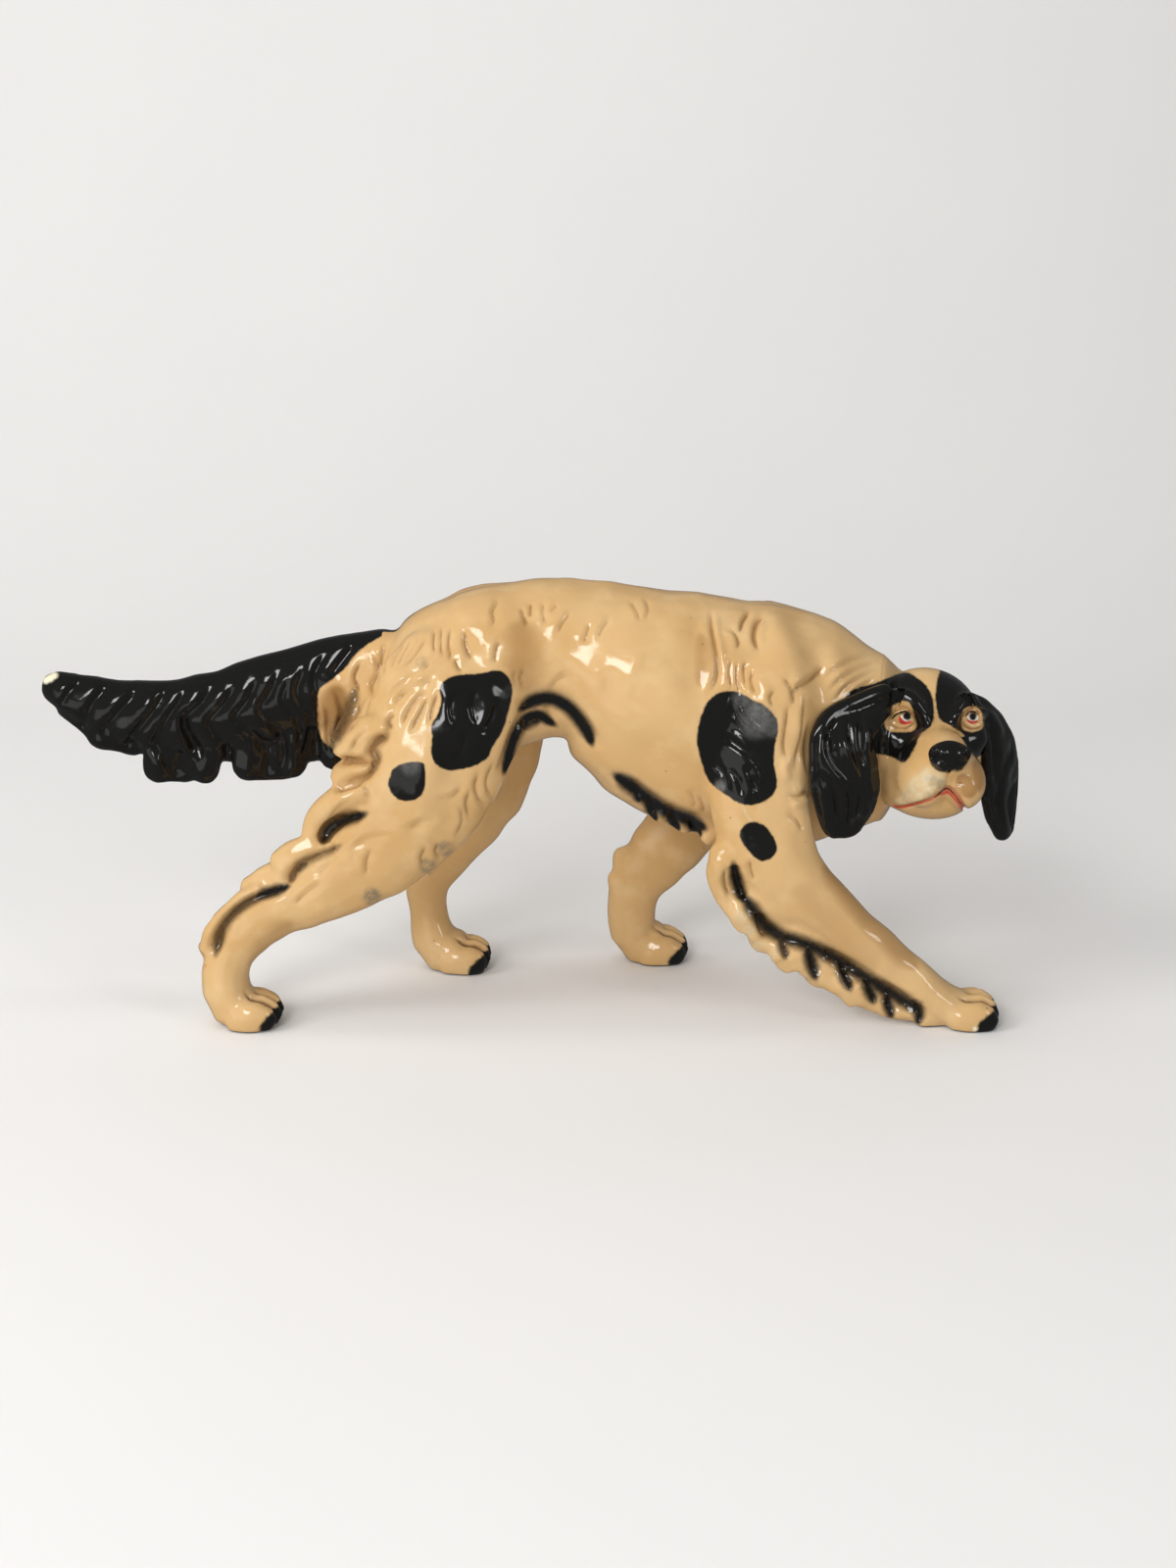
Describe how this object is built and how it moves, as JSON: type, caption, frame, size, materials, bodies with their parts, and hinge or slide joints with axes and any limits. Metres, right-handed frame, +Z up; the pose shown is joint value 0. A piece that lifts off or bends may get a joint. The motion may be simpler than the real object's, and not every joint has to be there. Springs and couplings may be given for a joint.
{
  "type": "dog sculpture",
  "caption": "Stalking setter figure in gloss-painted plaster, head turned to one side, feathered tail held out, standing on flat paw soles.",
  "frame": {"origin": "on the floor, under the middle of the figure's box", "axes": "+X the way the dog walks, +Y its left side, +Z up"},
  "size_m": [0.494, 0.1358, 0.2181],
  "materials": {
    "cream_paint": "gloss cream enamel over cast plaster",
    "black_paint": "gloss black enamel over cast plaster",
    "iron": "rough drawn iron rod, bedded in plaster"
  },
  "bodies": {
    "root": {"trunk_right_half": "cream_paint", "trunk_left_half": "cream_paint", "head": "cream_paint", "ear_right": "black_paint", "ear_left": "black_paint", "tail": "black_paint", "foreleg_right": "cream_paint", "foreleg_left": "cream_paint", "hindleg_right": "cream_paint", "hindleg_left": "cream_paint", "foreleg_right_rod": "iron", "foreleg_left_rod": "iron", "hindleg_right_rod": "iron", "hindleg_left_rod": "iron", "neck_rod": "iron", "tail_rod": "iron"}
  },
  "joints": []
}
